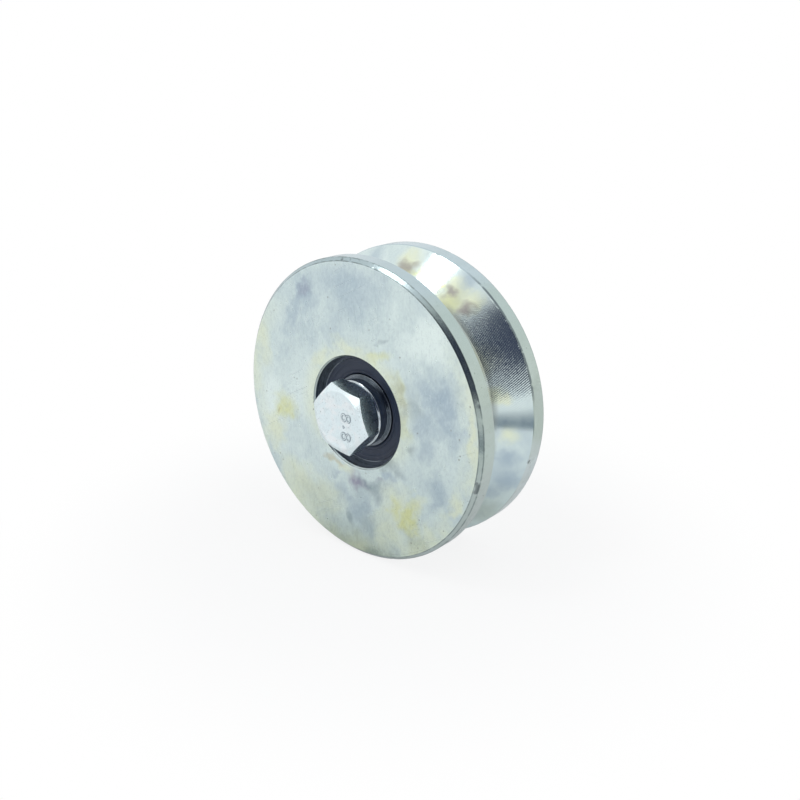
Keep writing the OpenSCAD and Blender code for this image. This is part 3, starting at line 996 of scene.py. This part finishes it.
class GATEWHEEL_OT_circlip(bpy.types.Operator):
    """Phosphated spring steel on the circlip behind the bearings"""

    bl_idname = "gatewheel.circlip"
    bl_label = "Circlip"

    def execute(self, context):
        coat("circlip", pressed_steel("phosphated_spring_steel", "#33343a", 0.32))
        return {"FINISHED"}


def bolt_head(s):
    """Head and plain shank of the bolt. Its face is dished a little inside the chamfer,
    and the underside runs into the shank with a fillet."""
    low, high = BOLT_LOW.y, BOLT_LOW.y + s.head_h
    shank = s.bolt_d / 2
    dish = low + s.mark_h
    face = [ring_row(r, y) for r, y in ((0, dish), (7.3, dish), (7.9, low + 0.05), (8.3, low))]
    head = hexagon_rows(s.across_flats, s.head_turn, low, high)
    end_y = BOLT_HIGH.y - s.thread_l
    fillet = [(shank + 0.5, high), (shank + 0.15, high + 0.15), (shank, high + 0.5)]
    tail = [ring_row(r, y) for r, y in (*fillet, (shank, end_y), (0, end_y))]
    chamfer = len(face) + 1 + len(CONE_STEPS)
    tags = [0] * chamfer + [1] * (len(face + head + tail) - chamfer)
    return forged("bolt_head_forged", face + head + tail, tags, False)


def bolt_thread(s):
    """Coarse thread with 60 degree flanks, running out of the shank and cut back by the
    chamfer on the bolt's end. It is one closed mesh whose rows follow the helix."""
    start, end = BOLT_HIGH.y - s.thread_l, BOLT_HIGH.y
    crest = s.bolt_d / 2 - CREST_PLAY
    depth = THREAD_DEPTH * s.thread_pitch
    crest_w, flank_w, chamfer = 0.125, 0.72, 1.2
    segments, steps = 96, 14
    rows = (math.ceil((end - start) / s.thread_pitch) + 2) * steps + 1
    columns = []
    for j in range(segments):
        angle = TURN * j / segments
        column = []
        for i in range(rows):
            y = start + (i / steps + j / segments - 1) * s.thread_pitch
            off = abs((i / steps) % 1.0 * 2 - 1)
            r = crest - depth * min(1.0, max(0.0, (off - crest_w) / flank_w))
            begun = min(1.0, max(0.0, (y - start) / (2 * s.thread_pitch)))
            y = min(max(y, start), end)
            r = min(r + (s.bolt_d / 2 - r) * (1 - begun), crest - chamfer + end - y)
            column.append(around(r, y, angle))
        columns.append(column)
    return solid_of("bolt_thread_rolled", columns, [0] * rows, closed_rows=False, lead=steps)


def grade_marks(s, *materials):
    """Raised 8.8 of the bolt's property class: figures of two rings each, and a point.
    Their tops have the first material and their flanks the second, a darker zinc that is painted
    shade and outlines the figures."""
    base, top = BOLT_LOW.y + s.mark_h + 0.02, BOLT_LOW.y
    ring = ((-0.42, base), (-0.1, top), (0.1, top), (0.42, base))
    loops = ((3.85, 1.3, 0.75, 0.95), (2.1, 1.3, 0.8, 1.0))
    loops += ((3.7, -4.4, 0.75, 0.95), (1.95, -4.4, 0.8, 1.0), (1.9, -1.6, 0.1, 0.1))
    parts = []
    for x, z, wide, high in loops:
        columns = []
        for j in range(32):
            a = TURN * j / 32
            sides = [(max(0.01, wide + r), max(0.01, high + r), y) for r, y in ring]
            columns.append([(x + w * math.cos(a), y, z + h * math.sin(a)) for w, h, y in sides])
        part = solid_of("bolt_grade_marks", columns, [1, 0, 1, 1])
        for material in materials:
            part.data.materials.append(material)
        parts.append(part)
    joined = {"active_object": parts[0], "selected_editable_objects": parts}
    with bpy.context.temp_override(object=parts[0], **joined):
        bpy.ops.object.join()
    return parts[0]


def clamp(obj, node, *materials, sharp=20):
    """Dresses a zinc plated piece that is clamped on the axle."""
    dress(obj, "axle", "fastener_zinc", node, *materials, sharp=sharp)


class GATEWHEEL_OT_axle(bpy.types.Operator):
    """Hexagon bolt with its grade marks and thread, the flanged bush and the spacer"""

    bl_idname = "gatewheel.axle"
    bl_label = "Axle"

    def execute(self, context):
        s = context.scene.gatewheel_axle
        forged_zinc = zinc_fastener("zinc_forged", s.plate, 0.04, 0.32, 0.2)
        drawn_zinc = zinc_fastener("zinc_drawn", s.drawn, 0.008, 0.03, 0.23)
        # Painted shade on the marks' flanks
        mark_flank_shade_zinc = zinc_fastener("zinc_painted_shade_on_marks", s.corner, 0.01, 0.1, 0.3)
        turned_zinc = zinc_fastener("zinc_turned", s.turned, 0.003, 0.02, 0.1)
        rolled_zinc = zinc_fastener("zinc_rolled", s.stamped, 0.006, 0.03, 0.14)
        clamp(bolt_head(s), "axle_bolt", forged_zinc, drawn_zinc)
        clamp(bolt_thread(s), None, rolled_zinc)
        clamp(grade_marks(s, forged_zinc, mark_flank_shade_zinc), None, sharp=35)
        bore = s.bolt_d / 2 + s.bolt_gap
        cut = s.collar_chamfer
        collar, sleeve = BUSH_HIGH.x, context.scene.gatewheel_bearing.bore / 2
        low, step, high = BUSH_LOW.y, INNER_LOW.y, BUSH_HIGH.y
        bush = [
            (bore, low, 0), (collar - cut, low, 0), (collar, low + cut, 0), (collar, step, 0),
            (sleeve, step, 0), (sleeve, high - cut, 0), (sleeve - cut, high, 0), (bore, high, 0),
        ]
        clamp(turned("axle_bush_turned", outline(bush, 0.08, 2.0)), "axle_bush", turned_zinc)
        outer, low, high = SPACER_HIGH.x, SPACER_LOW.y, SPACER_HIGH.y
        spacer = [
            (bore, low, 0), (outer - cut, low, 0), (outer, low + cut, 0),
            (outer, high - cut, 0), (outer - cut, high, 0), (bore, high, 0),
        ]
        spacer = turned("rear_spacer_turned", outline(spacer, 0.08, 2.0))
        clamp(spacer, "rear_spacer", turned_zinc)
        return {"FINISHED"}


class GATEWHEEL_OT_fasteners(bpy.types.Operator):
    """Plain washer, split spring washer and hexagon nut"""

    bl_idname = "gatewheel.fasteners"
    bl_label = "Fasteners"

    def execute(self, context):
        s = context.scene.gatewheel_axle
        zinc = zinc_fastener("zinc_stamped", s.stamped, 0.008, 0.05, 0.14)
        bore = s.bolt_d / 2 + s.bolt_gap
        outer, low, high = WASHER_HIGH.x, WASHER_LOW.y, WASHER_HIGH.y
        washer = [
            (bore, low, 0), (outer - 0.3, low, 0, 0.2), (outer, low + 0.3, 0, 0.2),
            (outer, high, 0), (bore, high, 0, 0.25),
        ]
        clamp(turned("plain_washer_stamped", outline(washer, 0.12, 2.0)), "plain_washer", zinc)
        outer, low, high = SPRING_HIGH.z, SPRING_LOW.y, SPRING_HIGH.y
        spring = [(bore, low, 0), (outer, low, 0), (outer, high, 0), (bore, high, 0)]
        gap = s.slit_w / outer
        split = {"start": gap / 2, "sweep": TURN - gap, "slant": math.tan(s.slit_turn) / outer}
        spring = turned("spring_washer_coiled", outline(spring, 0.3, 1.5), **split)
        clamp(spring, "spring_washer", zinc, sharp=35)
        low, high = NUT_LOW.y, NUT_HIGH.y
        bore, mouth = s.bolt_d / 2 + 0.02, 0.75
        rows = [ring_row(bore, low + mouth), ring_row(bore + mouth, low)]
        rows += hexagon_rows(s.across_flats, s.nut_turn, low, high)
        rows += [ring_row(bore + mouth, high), ring_row(bore, high - mouth)]
        clamp(forged("hex_nut_forged", rows, [0] * len(rows), True), "hex_nut", zinc)
        return {"FINISHED"}


# Stage ----------


def towards(azimuth, elevation):
    """Unit vector for a compass turn and a rise. Azimuth 0 is the bolt head's side."""
    flat = math.cos(elevation)
    return Vector((math.sin(azimuth) * flat, -math.cos(azimuth) * flat, math.sin(elevation)))


def studio_world(s):
    """Pale studio, which the metal mirrors, with an unlit side behind the camera and a
    bright window beside it. The camera itself sees plain white."""
    world = bpy.data.worlds.new("studio")
    bpy.context.scene.world = world
    world.use_nodes = True
    tree = world.node_tree
    tree.nodes.clear()
    way = add(tree, "TexCoord", out="Generated")
    rise = along(way, "Z")
    spots = []
    for centre, edge, full in (UNLIT, WINDOW):
        facing = {0: way, 1: towards(*map(math.radians, centre))}
        facing = add(tree, "VectorMath", facing, out=1, operation="DOT_PRODUCT")
        ends = [math.cos(math.radians(angle)) for angle in (edge, full)]
        spots.append(fade(facing, *ends))
    unlit, window = spots
    unlit = fade(rise, 0.045, 0.075, 1.0, fade(rise, 0.81, 0.7, 1.0, unlit))
    walls = filmed(s.room, [(unlit, s.dark), (window, (1.5, 1.5, 1.5, 1.0))])
    lit = add(tree, "Background", {"Color": walls, "Strength": 1.0})
    white = add(tree, "Background", {"Color": (1, 1, 1, 1), "Strength": 1.0})
    seen = add(tree, "LightPath", out="Is Camera Ray")
    both = add(tree, "MixShader", {0: seen, 1: lit, 2: white})
    add(tree, "OutputWorld", {"Surface": both})


def paper_on_ground(s):
    """White paper that ends to the right of the wheel, on grey ground that pales further
    out. The camera sees it blown out to white, but for the wheel's soft shadow, and the
    metal mirrors it evenly lit."""
    material, place = begin("white_paper")
    x, y = along(place, "X"), along(place, "Y")
    beyond = fade(x, 300, PAPER_EDGE, 1.0, fade(y, 60, 0))
    beyond = fade(x, PAPER_EDGE, PAPER_EDGE + 1, 1.0, beyond)
    base = filmed(s.paper, [(beyond, s.ground)])
    matt = add(place, "BsdfDiffuse", {"Color": base, "Roughness": 1.0})
    seen = add(place, "LightPath", out="Is Camera Ray")
    mirrored = add(place, "LightPath", out="Is Glossy Ray")
    shown = filmed(base, [(seen, (1.0, 1.0, 1.0, 1.0))])
    glow = add(place, "Emission", {"Color": shown, "Strength": 1.0})
    gap = add(place, "VectorMath", {0: place}, out=1, operation="LENGTH")
    blown = summed(0.85, (fade(gap, 50, 125, 0.15), 1.0))
    share = summed(0.0, (blown, seen), (mirrored, 0.2))
    both = add(place, "MixShader", {0: share, 1: matt, 2: glow})
    add(place, "OutputMaterial", {"Surface": both})
    return material


def stand(name, data, place, away):
    """Stands a lamp or a camera at a place in metres. away points back from what it faces."""
    obj = bpy.data.objects.new(name, data)
    obj.location = place
    obj.rotation_euler = away.to_track_quat("Z", "Y").to_euler()
    bpy.context.scene.collection.objects.link(obj)
    return obj


class GATEWHEEL_OT_stage(bpy.types.Operator):
    """White paper, pale studio, softbox and camera"""

    bl_idname = "gatewheel.stage"
    bl_label = "Stage"

    def execute(self, context):
        s = context.scene.gatewheel_stage
        scene = context.scene
        studio_world(s)
        bpy.ops.mesh.primitive_plane_add(size=8.0, location=(0, 0, WHEEL_LOW.z * MM))
        floor = context.object
        floor.name = "paper"
        floor.data.materials.append(paper_on_ground(s))

        light = bpy.data.lights.new("softbox", "AREA")
        light.shape = "RECTANGLE"
        light.size, light.size_y = 0.2, 0.18
        light.energy = s.softbox
        away = towards(*map(math.radians, SOFTBOX))
        stand("softbox", light, away * 0.8 + Vector((0.012, 0, 0.039)), away)

        data = bpy.data.cameras.new("camera")
        data.sensor_width = 36.0
        data.lens = s.lens
        data.clip_start = 0.01
        back = towards(s.azimuth, s.elevation)
        right = towards(s.azimuth + TURN / 4, 0)
        aim = Vector((0, WHEEL_LOW.y, 0)) + right * s.aim_right + back.cross(right) * s.aim_up
        scene.camera = stand("camera", data, (aim + back * s.distance) * MM, back)
        scene.view_settings.view_transform = "Standard"
        return {"FINISHED"}


class GATEWHEEL_PT_panel(bpy.types.Panel):
    """Buttons for the pieces and the stage"""

    bl_idname = "GATEWHEEL_PT_panel"
    bl_label = "Gate Wheel"
    bl_space_type = "VIEW_3D"
    bl_region_type = "UI"
    bl_category = "Gate Wheel"

    def draw(self, context):
        for operator in OPERATORS:
            self.layout.operator(operator.bl_idname)


SETTINGS = {
    "gatewheel_wheel": WheelSettings,
    "gatewheel_bearing": BearingSettings,
    "gatewheel_axle": AxleSettings,
    "gatewheel_stage": StageSettings,
}
OPERATORS = (
    GATEWHEEL_OT_stage,
    GATEWHEEL_OT_wheel,
    GATEWHEEL_OT_bearings,
    GATEWHEEL_OT_circlip,
    GATEWHEEL_OT_axle,
    GATEWHEEL_OT_fasteners,
)


def register():
    for name, group in SETTINGS.items():
        bpy.utils.register_class(group)
        setattr(bpy.types.Scene, name, PointerProperty(type=group))
    for cls in (*OPERATORS, GATEWHEEL_PT_panel):
        bpy.utils.register_class(cls)


def unregister():
    for cls in (GATEWHEEL_PT_panel, *reversed(OPERATORS)):
        bpy.utils.unregister_class(cls)
    for name, group in SETTINGS.items():
        delattr(bpy.types.Scene, name)
        bpy.utils.unregister_class(group)


def main():
    register()
    for operator in OPERATORS:
        group, name = operator.bl_idname.split(".")
        getattr(getattr(bpy.ops, group), name)()


if __name__ == "__main__":
    main()
